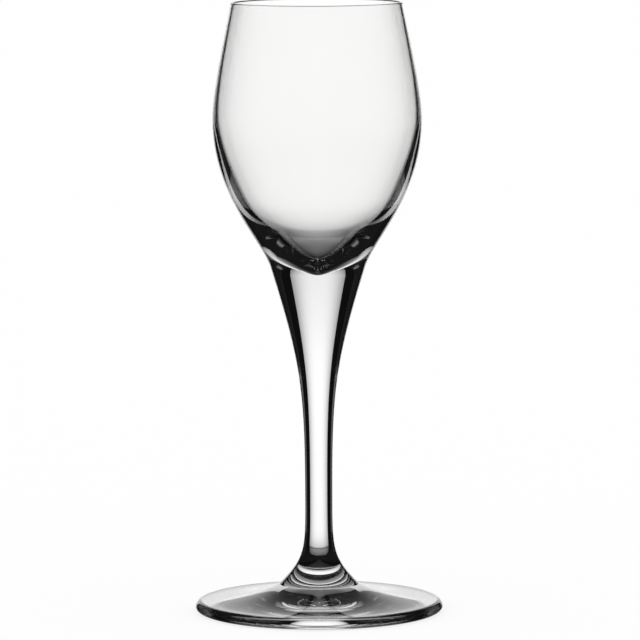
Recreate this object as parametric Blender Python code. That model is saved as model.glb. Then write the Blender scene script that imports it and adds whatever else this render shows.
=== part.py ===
"""Liqueur glass: a tulip bowl on a tall solid stem and a disc foot, all in clear glass.

The three pieces are turned about +Z and stand on the table at z = 0. Each one is drawn
from its own seat upwards and set on the piece below. Hot glass fuses them at two seams,
where SEAM keeps the solids a hairline apart. Sizes are in metres, leans in radians.
"""

import math

import bpy
from mathutils import Vector
from mathutils.geometry import interpolate_bezier

# Foot: a disc with a low crown, a round edge and a shallow hollow underneath
FOOT_DIAMETER = 0.0600
FOOT_EDGE = 0.0028
EDGE_ROUNDING = 0.0009
NOSE_HEIGHT = 0.0012
CROWN_HEIGHT = 0.0064
CROWN_LEAN = math.radians(62.5)
EDGE_LEAN = math.radians(87)
REST_RING_WIDTH = 0.0025
HOLLOW_DEPTH = 0.0021
HOLLOW_LEAN = math.radians(92)

# Stem: solid, drawn out of a wide cup to a thin waist, with a trumpet flare below
STEM_LENGTH = 0.0772
STEM_BASE_DIAMETER = 0.0192
STEM_BASE_LEAN = math.radians(44)
WAIST_DIAMETER = 0.0066
WAIST_HEIGHT = 0.0195

# Bowl: thin at the lip, widest below it, thick where the walls run into the base
BOWL_HEIGHT = 0.0638
RIM_DIAMETER = 0.0410
RIM_LEAN = math.radians(11.4)
BELLY_DIAMETER = 0.0503
BELLY_HEIGHT = 0.0363
LIP_THICKNESS = 0.0008
BELLY_WALL = 0.0011
BASE_THICKNESS = 0.0045

# The bowl's hollow ends in a blunt cone, which starts at this width above the floor
CONE_DIAMETER = 0.0274
CONE_HEIGHT = 0.0112
CONE_LEAN = math.radians(42.5)

# The joint under the bowl: a round nib on the bowl sits in a cup in the stem
SEAT_DIAMETER = 0.0228
SEAT_DEPTH = 0.0054
SEAT_LEAN = math.radians(17.3)
SEAM = 0.0003

TURN_STEPS = 48
INWARDS = math.radians(-90)


def point(radius, height):
    """A profile point, drawn in the XZ plane."""
    return Vector((radius, 0.0, height))


def slope(lean):
    """Direction down the outer side: 0 is straight down, positive leans outwards."""
    return Vector((math.sin(lean), 0.0, -math.cos(lean)))


def sweep(start, leaving, end, arriving, pulls, count):
    """A smooth curve between two points; pulls are its handles as shares of the span."""
    span = (end - start).length
    first = start + slope(leaving) * span * pulls[0]
    last = end - slope(arriving) * span * pulls[1]
    return interpolate_bezier(start, first, last, end, count)


def arc(centre, radius, start, end, count):
    """Points on a circle, with angles measured from +X towards +Z."""
    turn = (end - start) / (count - 1)
    angles = [start + turn * i for i in range(count)]
    return [centre + radius * Vector((math.cos(a), 0.0, math.sin(a))) for a in angles]


def dish(radius, depth, height, count):
    """Round cap from its edge down to the axis, for the nib and for the cup that takes it."""
    sphere = (radius ** 2 + depth ** 2) / (2 * depth)
    centre = point(0.0, height - depth + sphere)
    edge = -math.acos(radius / sphere)
    return arc(centre, sphere, edge, -math.pi / 2, count)


def clear_glass(name):
    """Colourless soda-lime glass."""
    material = bpy.data.materials.new(name)
    material.use_nodes = True
    shader = material.node_tree.nodes["Principled BSDF"]
    shader.inputs["Base Color"].default_value = (0.96, 0.97, 0.96, 1.0)
    shader.inputs["Roughness"].default_value = 0.02
    shader.inputs["Metallic"].default_value = 0.0
    shader.inputs["IOR"].default_value = 1.52
    shader.inputs["Transmission Weight"].default_value = 1.0
    return material


def turned(name, profile, height, parent):
    """A solid of revolution whose profile runs from the axis, over the outside, to the axis."""
    mesh = bpy.data.meshes.new(name)
    links = [(i, i + 1) for i in range(len(profile) - 1)]
    mesh.from_pydata(profile, links, [])
    mesh.materials.append(clear_glass(name))
    piece = bpy.data.objects.new(name, mesh)
    bpy.context.scene.collection.objects.link(piece)
    piece.parent = parent
    piece.location.z = height
    screw = piece.modifiers.new("Turn", "SCREW")
    screw.axis = "Z"
    screw.angle = 2 * math.pi
    screw.steps = TURN_STEPS
    screw.render_steps = TURN_STEPS
    screw.use_merge_vertices = True
    screw.merge_threshold = 0.00001
    screw.use_smooth_shade = True
    return piece


def foot_profile():
    """Pad under the stem, crown, round edge, rest ring and the hollow inside the ring."""
    pad = point(STEM_BASE_DIAMETER / 2, CROWN_HEIGHT)
    brow = point(FOOT_DIAMETER / 2 - EDGE_ROUNDING, FOOT_EDGE)
    nose = point(FOOT_DIAMETER / 2, NOSE_HEIGHT)
    ring_outside = point(brow.x, 0.0)
    ring_inside = ring_outside - point(REST_RING_WIDTH, 0.0)
    crown = sweep(pad, CROWN_LEAN, brow, EDGE_LEAN, (0.2, 0.48), 14)
    edge_top = sweep(brow, EDGE_LEAN, nose, 0.0, (0.27, 0.48), 6)
    edge_bottom = sweep(nose, 0.0, ring_outside, INWARDS, (0.45, 0.32), 6)
    hollow = sweep(ring_inside, -HOLLOW_LEAN, point(0.0, HOLLOW_DEPTH), INWARDS, (0.77, 0.16), 12)
    return [point(0.0, CROWN_HEIGHT)] + crown + edge_top[1:] + edge_bottom[1:] + hollow


def stem_profile():
    """Cup for the bowl, long taper, waist, flare and the flat base that meets the foot."""
    seat = SEAT_DIAMETER / 2
    waist = point(WAIST_DIAMETER / 2, WAIST_HEIGHT)
    base = point(STEM_BASE_DIAMETER / 2, 0.0)
    cup = dish(seat, SEAT_DEPTH, STEM_LENGTH, 8)
    taper = sweep(cup[0], -SEAT_LEAN, waist, 0.0, (0.44, 0.47), 18)
    flare = sweep(waist, 0.0, base, STEM_BASE_LEAN, (0.56, 0.42), 14)
    return cup[::-1] + taper[1:] + flare[1:] + [point(0.0, 0.0)]


def bowl_profile():
    """Hollow from its floor up, lip, outer wall down to the seat, and the nib below it."""
    seat = point(SEAT_DIAMETER / 2, 0.0)
    belly = point(BELLY_DIAMETER / 2, BELLY_HEIGHT)
    inner_belly = belly - point(BELLY_WALL, 0.0)
    floor = point(0.0, BASE_THICKNESS - SEAT_DEPTH)
    cone = floor + point(CONE_DIAMETER / 2, CONE_HEIGHT)
    rounding = LIP_THICKNESS / 2
    centre = point(RIM_DIAMETER / 2 - rounding, BOWL_HEIGHT - rounding)
    lip = arc(centre, rounding, math.pi + RIM_LEAN, RIM_LEAN, 7)
    inner_top = sweep(lip[0], RIM_LEAN, inner_belly, 0.0, (0.82, 0.08), 10)
    inner_wall = sweep(inner_belly, 0.0, cone, -CONE_LEAN, (0.23, 0.27), 12)
    inner_cone = sweep(cone, -CONE_LEAN, floor, INWARDS, (0.46, 0.13), 9)
    outer_top = sweep(lip[-1], RIM_LEAN, belly, 0.0, (0.82, 0.08), 10)
    outer_wall = sweep(belly, 0.0, seat, -SEAT_LEAN, (0.48, 0.2), 16)
    nib = dish(seat.x, SEAT_DEPTH, 0.0, 8)
    inside = (inner_top + inner_wall[1:] + inner_cone[1:])[::-1]
    return inside + lip[1:-1] + outer_top + outer_wall[1:] + nib[1:]


for old in list(bpy.data.objects):
    bpy.data.objects.remove(old)

glass = bpy.data.objects.new("liqueur_glass", None)
bpy.context.scene.collection.objects.link(glass)

stem_height = CROWN_HEIGHT + SEAM
bowl_height = stem_height + STEM_LENGTH + SEAM
turned("foot", foot_profile(), 0.0, glass)
turned("stem", stem_profile(), stem_height, glass)
turned("bowl", bowl_profile(), bowl_height, glass)
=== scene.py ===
import math

import bmesh
import bpy
from mathutils import Matrix, Vector


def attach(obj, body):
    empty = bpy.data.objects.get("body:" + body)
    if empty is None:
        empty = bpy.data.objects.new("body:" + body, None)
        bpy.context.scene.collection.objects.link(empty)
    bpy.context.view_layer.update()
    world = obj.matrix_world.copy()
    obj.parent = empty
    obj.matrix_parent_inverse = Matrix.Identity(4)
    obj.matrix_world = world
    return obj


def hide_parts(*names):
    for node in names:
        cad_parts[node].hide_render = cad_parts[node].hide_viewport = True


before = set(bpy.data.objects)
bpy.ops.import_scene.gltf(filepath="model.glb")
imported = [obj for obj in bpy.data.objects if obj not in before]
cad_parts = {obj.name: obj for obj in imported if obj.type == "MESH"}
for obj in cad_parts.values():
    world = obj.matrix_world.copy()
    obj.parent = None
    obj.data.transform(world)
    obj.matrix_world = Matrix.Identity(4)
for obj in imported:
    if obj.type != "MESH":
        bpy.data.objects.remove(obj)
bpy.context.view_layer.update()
scene = bpy.context.scene
scene.view_settings.view_transform = "Standard"

# Camera: a long lens a little above the rim, so that the rim is almost a line and the
# foot an open ellipse. The glass fills the square frame from edge to edge.


def place(name, data):
    """A new object in the scene."""
    thing = bpy.data.objects.new(name, data)
    scene.collection.objects.link(thing)
    return thing


lens = bpy.data.cameras.new("camera")
lens.sensor_width = 36.0
lens.lens = 281.9
camera = place("camera", lens)
stands_at = (0.00048, -1.205, 0.201)
pitch = math.radians(90 - 6.16)
roll = math.radians(-0.25)
camera.matrix_world = (
    Matrix.Translation(stands_at) @ Matrix.Rotation(pitch, 4, "X") @ Matrix.Rotation(roll, 4, "Z")
)
scene.camera = camera

# Table: a white sweep that runs out of view behind the glass. Most of it shows as plain white
# and a part is matt paint that takes the soft shadow. What shows in the glass is the light.


def bare(name):
    """A new material with an empty node tree."""
    material = bpy.data.materials.new(name)
    material.use_nodes = True
    material.node_tree.nodes.clear()
    return material


def wire(tree, kind, settings=(), **links):
    """A new node in a tree. Names are its inputs, _0 and _1 its inputs by number."""
    made = tree.nodes.new(kind)
    for key, value in dict(settings).items():
        setattr(made, key, value)
    for key, source in links.items():
        socket = made.inputs[int(key[1:]) if key[0] == "_" else key.replace("_", " ")]
        if isinstance(source, bpy.types.NodeSocket):
            tree.links.new(source, socket)
        else:
            socket.default_value = source
    return made


def flat(name, points, material):
    """A flat sheet of one face."""
    mesh = bpy.data.meshes.new(name)
    mesh.from_pydata(points, [], [tuple(range(len(points)))])
    mesh.materials.append(material)
    return place(name, mesh)


white_paper = bare("white_paper")
paper = white_paper.node_tree
white = (1.0, 1.0, 1.0, 1.0)
matt_share = 0.2
glow = wire(paper, "ShaderNodeEmission", Color=white, Strength=1.0).outputs["Emission"]
paint = wire(paper, "ShaderNodeBsdfDiffuse", Color=(0.98, 0.98, 0.98, 1.0)).outputs["BSDF"]
mixed = wire(paper, "ShaderNodeMixShader", Fac=matt_share, _1=glow, _2=paint).outputs["Shader"]
wire(paper, "ShaderNodeOutputMaterial", Surface=mixed)

reach = 6.0
hair_below = -0.0001
table = flat(
    "table",
    [(-reach, -reach, 0.0), (reach, -reach, 0.0), (reach, reach, 0.0), (-reach, reach, 0.0)],
    white_paper,
)
table.location.z = hair_below
table.visible_glossy = False
table.visible_transmission = False

# Light: white all round for the table. The glass itself stands before a glowing white cloth,
# with a black card hung on either side so that its edges draw dark. The stand turns with the
# camera for each new shot. A grey disc under the foot, seen only in the glass, is painted shade:
# it stands in for the table's shade beneath the foot and is darker the flatter it is seen.
world = bpy.data.worlds.new("tent")
world.use_nodes = True
tent = world.node_tree.nodes["Background"].inputs
tent["Color"].default_value = white
tent["Strength"].default_value = 1.0
scene.world = world

stand = place("light_stand", None)
middle_of_glass = 0.074
stand.location = (0.0, 0.0, middle_of_glass)
turn_to_lens = stand.constraints.new("TRACK_TO")
turn_to_lens.target = camera
turn_to_lens.track_axis = "TRACK_NEGATIVE_Y"
turn_to_lens.up_axis = "UP_Z"

cloth_radius = 3.0
cloth_shape = bmesh.new()
bmesh.ops.create_uvsphere(cloth_shape, u_segments=64, v_segments=32, radius=cloth_radius)
cloth_mesh = bpy.data.meshes.new("cloth")
cloth_shape.to_mesh(cloth_mesh)
cloth_shape.free()
cloth = place("cloth", cloth_mesh)
cloth.parent = stand
cloth_light = bare("cloth_light")
lit = cloth_light.node_tree


def sum_up(tree, operation, first, second=0.0):
    """One step of arithmetic."""
    return wire(tree, "ShaderNodeMath", {"operation": operation}, _0=first, _1=second).outputs[0]


def exp_of_minus(tree, value):
    """The soft falling edge of a light."""
    return sum_up(tree, "EXPONENT", sum_up(tree, "MULTIPLY", value, -1.0))


on_cloth = wire(lit, "ShaderNodeTexCoord").outputs["Object"]
spot = wire(lit, "ShaderNodeSeparateXYZ", Vector=on_cloth).outputs
sideways = sum_up(lit, "ABSOLUTE", sum_up(lit, "ARCTAN2", spot["X"], spot["Y"]))
raised_by = sum_up(lit, "ARCSINE", sum_up(lit, "DIVIDE", spot["Z"], cloth_radius))

# The lamp behind the cloth is brightest straight behind the glass
lamp_half_width, lamp_edge, lamp_strength = math.radians(29.5), 2.9, 1.1
fading = sum_up(lit, "POWER", sum_up(lit, "DIVIDE", sideways, lamp_half_width), lamp_edge)
lamp = sum_up(lit, "MULTIPLY", exp_of_minus(lit, fading), lamp_strength)
height = wire(
    lit, "ShaderNodeMapRange", Value=raised_by, From_Min=-math.pi / 2, From_Max=math.pi / 2
).outputs["Result"]
glow_by_height = wire(lit, "ShaderNodeValToRGB", Fac=height)
stops = glow_by_height.color_ramp.elements
stops[0].color = stops[-1].color = (0.01, 0.01, 0.01, 1.0)
for degrees, level in (
    (-69, 0.011), (-54, 0.018), (-44, 0.07), (-36, 0.14), (-28, 0.20), (-22, 0.36),
    (-18, 0.62), (-16, 0.673), (-14, 0.74), (-12, 0.81), (-10, 0.88), (-7, 0.945),
    (-2, 0.985), (3, 1.0), (8, 0.994), (13, 0.958), (18, 0.869), (23, 0.723),
    (28, 0.539), (33, 0.35), (38, 0.194), (43, 0.12), (71, 0.11),
):
    stops.new((degrees + 90) / 180).color = (level, level, level, 1.0)
seen = sum_up(lit, "MULTIPLY", lamp, glow_by_height.outputs["Color"])

# A faint slit of light shows past each card, level with the glass
slit_at, slit_half_width, slit_strength = math.radians(57), math.radians(4.5), 0.2
slit_full_height, slit_end = math.radians(8), math.radians(14)
past_card = sum_up(lit, "DIVIDE", sum_up(lit, "SUBTRACT", sideways, slit_at), slit_half_width)
slit = exp_of_minus(lit, sum_up(lit, "MULTIPLY", past_card, past_card))
level_with = wire(
    lit, "ShaderNodeMapRange", {"interpolation_type": "SMOOTHSTEP"},
    Value=sum_up(lit, "ABSOLUTE", raised_by),
    From_Min=slit_full_height, From_Max=slit_end, To_Min=slit_strength, To_Max=0.0,
).outputs["Result"]
seen = sum_up(lit, "ADD", seen, sum_up(lit, "MULTIPLY", slit, level_with))
dim_all_round = 0.008
seen = sum_up(lit, "ADD", seen, dim_all_round)
shine = wire(lit, "ShaderNodeEmission", Color=white, Strength=seen).outputs["Emission"]
wire(lit, "ShaderNodeOutputMaterial", Surface=shine)
cloth_mesh.materials.append(cloth_light)

black_paper = bare("black_paper")
black = black_paper.node_tree
matt = wire(black, "ShaderNodeBsdfDiffuse", Color=(0.004, 0.004, 0.004, 1.0)).outputs["BSDF"]
wire(black, "ShaderNodeOutputMaterial", Surface=matt)
cards = []
behind, inner_edge, outer_edge, bottom, top = 0.150, 0.075, 0.155, -1.5, 0.5
for side in (-1, 1):
    near, far = side * inner_edge, side * outer_edge
    card = flat(
        "card",
        [(near, behind, bottom), (far, behind, bottom), (far, behind, top), (near, behind, top)],
        black_paper,
    )
    card.parent = stand
    cards.append(card)

# Painted shade: a see-through grey disc under the foot, darker the flatter it is seen, stands in
# for the table's shade under the glass
shade_under_foot = bare("shade_under_foot")
grey = shade_under_foot.node_tree
clear_from, grey_from, clear_level, grey_level = 0.42, 0.72, 0.95, 0.36
slant = wire(grey, "ShaderNodeLayerWeight").outputs["Facing"]
let_through = wire(
    grey, "ShaderNodeMapRange", {"interpolation_type": "SMOOTHSTEP"}, Value=slant,
    From_Min=clear_from, From_Max=grey_from, To_Min=clear_level, To_Max=grey_level,
).outputs["Result"]
dimmed = wire(grey, "ShaderNodeBsdfTransparent", Color=let_through).outputs["BSDF"]
wire(grey, "ShaderNodeOutputMaterial", Surface=dimmed)
shade_radius, shade_sides = 0.036, 96
angles = [2 * math.pi * step / shade_sides for step in range(shade_sides)]
shade_edge = [(shade_radius * math.cos(a), shade_radius * math.sin(a), 0.0) for a in angles]
film = flat("film", shade_edge, shade_under_foot)
film.location.z = hair_below / 2

for screen in (cloth, film, *cards):
    screen.visible_camera = False
    screen.visible_diffuse = False
    screen.visible_shadow = False

# Foot: a pressed disc of clear glass. Its crown runs up to the stem, its edge is round, and
# it stands on a flat ring with a shallow hollow inside.


def turning_tree():
    """A lathe: turns an outline about the axis and keeps fused seams apart from the surface."""
    tree = bpy.data.node_groups.new("turned_glass", "GeometryNodeTree")
    tree.is_modifier = True
    for name, kind in (
        ("Blank", "NodeSocketGeometry"),
        ("Outline", "NodeSocketObject"),
        ("Sides", "NodeSocketInt"),
        ("Weld", "NodeSocketFloat"),
        ("Glass", "NodeSocketMaterial"),
        ("Seam", "NodeSocketMaterial"),
    ):
        tree.interface.new_socket(name, in_out="INPUT", socket_type=kind)
    tree.interface.new_socket("Piece", in_out="OUTPUT", socket_type="NodeSocketGeometry")

    def node(kind, settings=(), **links):
        return wire(tree, kind, settings, **links).outputs

    def shape(kind, **links):
        return node(kind, **links)["Geometry"]

    # A grid has one row for each point of the outline and one column for each side
    given = node("NodeGroupInput")
    drawn = shape("GeometryNodeObjectInfo", Object=given["Outline"])
    rings = node("GeometryNodeCurveToPoints", {"mode": "EVALUATED"}, Curve=drawn)["Points"]
    of_points = {"component": "POINTCLOUD"}
    count = node("GeometryNodeAttributeDomainSize", of_points, Geometry=rings)["Point Count"]
    around = sum_up(tree, "ADD", given["Sides"], 1.0)
    grid = node("GeometryNodeMeshGrid", Vertices_X=count, Vertices_Y=around)["Mesh"]
    index = node("GeometryNodeInputIndex")["Index"]
    ring = sum_up(tree, "FLOOR", sum_up(tree, "DIVIDE", index, around))
    step = sum_up(tree, "MODULO", index, around)
    angle = sum_up(tree, "MULTIPLY", sum_up(tree, "DIVIDE", step, given["Sides"]), 2 * math.pi)

    def of_ring(kind, value):
        settings = {"data_type": kind}
        return node("GeometryNodeSampleIndex", settings, Geometry=rings, Value=value, Index=ring)[0]

    # Each row is turned about the axis, and the seam and the poles are welded
    outline = of_ring("FLOAT_VECTOR", node("GeometryNodeInputPosition")["Position"])
    about_axis = {"rotation_type": "Z_AXIS"}
    turned = node("ShaderNodeVectorRotate", about_axis, Vector=outline, Angle=angle)["Vector"]
    kept = wire(tree, "GeometryNodeCaptureAttribute", Geometry=grid)
    kept.capture_items.new("FLOAT", "Open")
    is_open = of_ring("FLOAT", node("GeometryNodeInputRadius")["Radius"])
    tree.links.new(is_open, kept.inputs["Open"])
    shell = shape("GeometryNodeSetPosition", Geometry=kept.outputs["Geometry"], Position=turned)
    welded = shape("GeometryNodeMergeByDistance", Geometry=shell, Distance=given["Weld"])

    # Open glass is smooth, and faces fused to the next piece get the seam's material
    fused = sum_up(tree, "LESS_THAN", kept.outputs["Open"], 0.999)
    open_side = sum_up(tree, "SUBTRACT", 1.0, fused)
    smooth = shape("GeometryNodeSetShadeSmooth", Geometry=welded, Shade_Smooth=open_side)
    real = shape("GeometryNodeRealizeInstances", Geometry=smooth)
    glass = shape("GeometryNodeSetMaterial", Geometry=real, Material=given["Glass"])
    seamed = shape(
        "GeometryNodeSetMaterial", Geometry=glass, Selection=fused, Material=given["Seam"]
    )
    node("NodeGroupOutput", Piece=seamed)
    return tree


def knot(radius, height, heading, before=0.0, after=0.0, fused=False):
    """Outline point in millimetres, with its handles. Heading 0 is outwards, 90 up, in degrees."""
    at = Vector((radius, 0.0, height))
    way = Vector((math.cos(math.radians(heading)), 0.0, math.sin(math.radians(heading))))
    return at, at - way * before, at + way * after, 0.0 if fused else 1.0


def corner(radius, height, arriving, leaving, before=0.0, after=0.0):
    """A sharp edge, with a knot a hair away on each side so that each face keeps its own shine."""
    hair = 0.004
    came, goes = math.radians(arriving), math.radians(leaving)
    return [
        knot(radius - hair * math.cos(came), height - hair * math.sin(came), arriving, before),
        knot(radius, height, 0),
        knot(radius + hair * math.cos(goes), height + hair * math.sin(goes), leaving, 0.0, after),
    ]


def turn(name, knots, spans, glass):
    """Draws an outline, turns it on the lathe and gives the plain mesh piece."""
    curve = bpy.data.curves.new(name + "_outline", "CURVE")
    curve.dimensions = "3D"
    curve.resolution_u = spans
    spline = curve.splines.new("BEZIER")
    spline.bezier_points.add(len(knots) - 1)
    for bezier, (at, back, on, is_open) in zip(spline.bezier_points, knots):
        bezier.handle_left_type = "VECTOR" if back == at else "FREE"
        bezier.handle_right_type = "VECTOR" if on == at else "FREE"
        bezier.co = at / 1000
        bezier.handle_left = back / 1000
        bezier.handle_right = on / 1000
        bezier.radius = is_open
    drawing = place(name + "_outline", curve)
    piece = place(name, bpy.data.meshes.new(name + "_blank"))
    lathe = piece.modifiers.new("turn", "NODES")
    lathe.node_group = lathe_nodes
    values = {
        "Outline": drawing,
        "Sides": 192,
        "Weld": 0.000001,
        "Glass": glass,
        "Seam": fused_seam,
    }
    for item in lathe_nodes.interface.items_tree:
        if item.in_out == "INPUT" and item.name in values:
            lathe[item.identifier] = values[item.name]
    depsgraph = bpy.context.evaluated_depsgraph_get()
    mesh = bpy.data.meshes.new_from_object(piece.evaluated_get(depsgraph))
    mesh.materials.pop(index=0)
    piece.modifiers.clear()
    piece.data = mesh
    mesh.name = name
    bpy.data.objects.remove(drawing)
    return piece


def working_marks():
    """What hot working leaves in clear glass: slow waves, a trace of haze and a trace of colour."""
    tree = bpy.data.node_groups.new("working_marks", "ShaderNodeTree")
    tree.interface.new_socket("Stretch", in_out="INPUT", socket_type="NodeSocketVector")
    for name, kind in (
        ("Tint", "NodeSocketColor"),
        ("Haze", "NodeSocketFloat"),
        ("Wave", "NodeSocketFloat"),
    ):
        tree.interface.new_socket(name, in_out="OUTPUT", socket_type=kind)
    stretch = wire(tree, "NodeGroupInput").outputs["Stretch"]
    on_piece = wire(tree, "ShaderNodeTexCoord").outputs["Object"]
    drawn = wire(
        tree, "ShaderNodeVectorMath", {"operation": "MULTIPLY"}, _0=on_piece, _1=stretch
    ).outputs["Vector"]
    wave = wire(tree, "ShaderNodeTexNoise", Vector=drawn, Scale=1.0, Detail=1.0).outputs[0]
    cloudy = wire(tree, "ShaderNodeTexNoise", Vector=on_piece, Scale=500.0, Detail=3.0).outputs[0]
    most_haze = 0.02
    haze = wire(
        tree, "ShaderNodeMapRange", Value=cloudy, From_Min=0.4, From_Max=0.8, To_Max=most_haze
    ).outputs["Result"]
    clear, warm = (1.0, 1.0, 0.999, 1.0), (0.999, 0.997, 0.993, 1.0)
    tint = wire(tree, "ShaderNodeMix", {"data_type": "RGBA"}, _0=wave, _6=clear, _7=warm).outputs[2]
    wire(tree, "NodeGroupOutput", Tint=tint, Haze=haze, Wave=wave)
    return tree


def clear_glass(name, stretch):
    """Colourless glass for one piece. The stretch lays its marks the way the piece was worked."""
    material = bpy.data.materials.new(name)
    material.use_nodes = True
    tree = material.node_tree
    shader = tree.nodes["Principled BSDF"]
    shader.inputs["IOR"].default_value = 1.51
    shader.inputs["Transmission Weight"].default_value = 1.0
    marks = wire(tree, "ShaderNodeGroup", {"node_tree": marks_of_work}, Stretch=stretch).outputs
    relief = wire(tree, "ShaderNodeBump", Strength=0.15, Distance=0.0001, Height=marks["Wave"])
    tree.links.new(marks["Tint"], shader.inputs["Base Color"])
    tree.links.new(marks["Haze"], shader.inputs["Roughness"])
    tree.links.new(relief.outputs["Normal"], shader.inputs["Normal"])
    return material


lathe_nodes = turning_tree()
marks_of_work = working_marks()
fused_seam = bare("fused_seam")
nothing = wire(fused_seam.node_tree, "ShaderNodeBsdfTransparent").outputs["BSDF"]
wire(fused_seam.node_tree, "ShaderNodeOutputMaterial", Surface=nothing)

foot_radius, foot_edge, crown, pad = 30.0, 2.7, 6.565, 9.58
bend, nose, ring_inside, hollow = 1.6, 1.1, 26.9, 2.1
rounding = 0.55
foot = turn(
    "foot_disc",
    [
        knot(0.0, crown, 0, after=3.0, fused=True),
        *corner(pad, crown, 0, -26, before=3.0, after=5.0),
        knot(foot_radius - bend, foot_edge, 0, before=8.0, after=bend * rounding),
        knot(foot_radius, nose, -90, before=(foot_edge - nose) * rounding, after=nose * rounding),
        knot(foot_radius - bend, 0.0, 180, before=bend * rounding, after=0.5),
        knot(ring_inside, 0.0, 180, before=0.5, after=14.0),
        knot(0.0, hollow, 180, before=5.0),
    ],
    spans=64,
    glass=clear_glass("pressed_glass", stretch=(70.0, 70.0, 70.0)),
)
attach(foot, "root")
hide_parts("foot")

# Stem: solid glass drawn out to a thin waist. A trumpet flare stands on the foot, and a cup
# at the top takes the bowl's round base.
waist, waist_height, seat, seat_height, seat_depth = 3.32, 26.25, 11.5, 84.0, 5.4
stem = turn(
    "drawn_stem",
    [
        knot(0.0, seat_height - seat_depth, 0, after=5.0, fused=True),
        *corner(seat, seat_height, 54, -107.3, before=5.0, after=25.4),
        knot(waist, waist_height, -90, before=27.3, after=11.42),
        *corner(pad, crown, -45.7, 180, before=8.61, after=3.0),
        knot(0.0, crown, 180, before=3.0, fused=True),
    ],
    spans=64,
    glass=clear_glass("drawn_glass", stretch=(160.0, 160.0, 14.0)),
)
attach(stem, "root")
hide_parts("stem")

# Bowl: blown tulip with a fire-polished lip. The wall is thin at the lip and runs down into
# a thick base, where the hollow ends in a blunt cone above the stem.
rim, rim_height, lip, belly, belly_height = 20.78, 147.75, 0.8, 25.26, 119.5
inner_floor, cone, cone_height = 83.29, 13.72, 94.53
shoulder, shoulder_height, inner_belly, inner_belly_height = 20.22, 105.0, 24.05, 120.4
lip_bend = lip / 2
lip_pull = lip_bend * 0.5523
bowl = turn(
    "tulip_bowl",
    [
        knot(0.0, inner_floor, 0, after=2.45),
        knot(cone, cone_height, 47.6, before=8.09, after=4.11),
        knot(shoulder, shoulder_height, 65.9, before=4.17, after=5.37),
        knot(inner_belly, inner_belly_height, 90, before=5.29, after=6.95),
        knot(rim - lip, rim_height - lip_bend, 100.9, before=8.0, after=lip_pull),
        knot(rim - lip_bend, rim_height, 0, before=lip_pull, after=lip_pull),
        knot(rim, rim_height - lip_bend, -79.1, before=lip_pull, after=8.0),
        knot(belly, belly_height, -90, before=6.95, after=18.0),
        *corner(seat, seat_height, -108.4, -126, before=6.95, after=5.0),
        knot(0.0, seat_height - seat_depth, 180, before=5.0, fused=True),
    ],
    spans=48,
    glass=clear_glass("blown_glass", stretch=(60.0, 60.0, 40.0)),
)
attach(bowl, "root")
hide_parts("bowl")

# Light goes through the solid stem by many inner reflections, so its paths are long.
long_path = 32
scene.cycles.max_bounces = long_path
scene.cycles.transmission_bounces = long_path
scene.cycles.glossy_bounces = long_path
scene.cycles.transparent_max_bounces = long_path
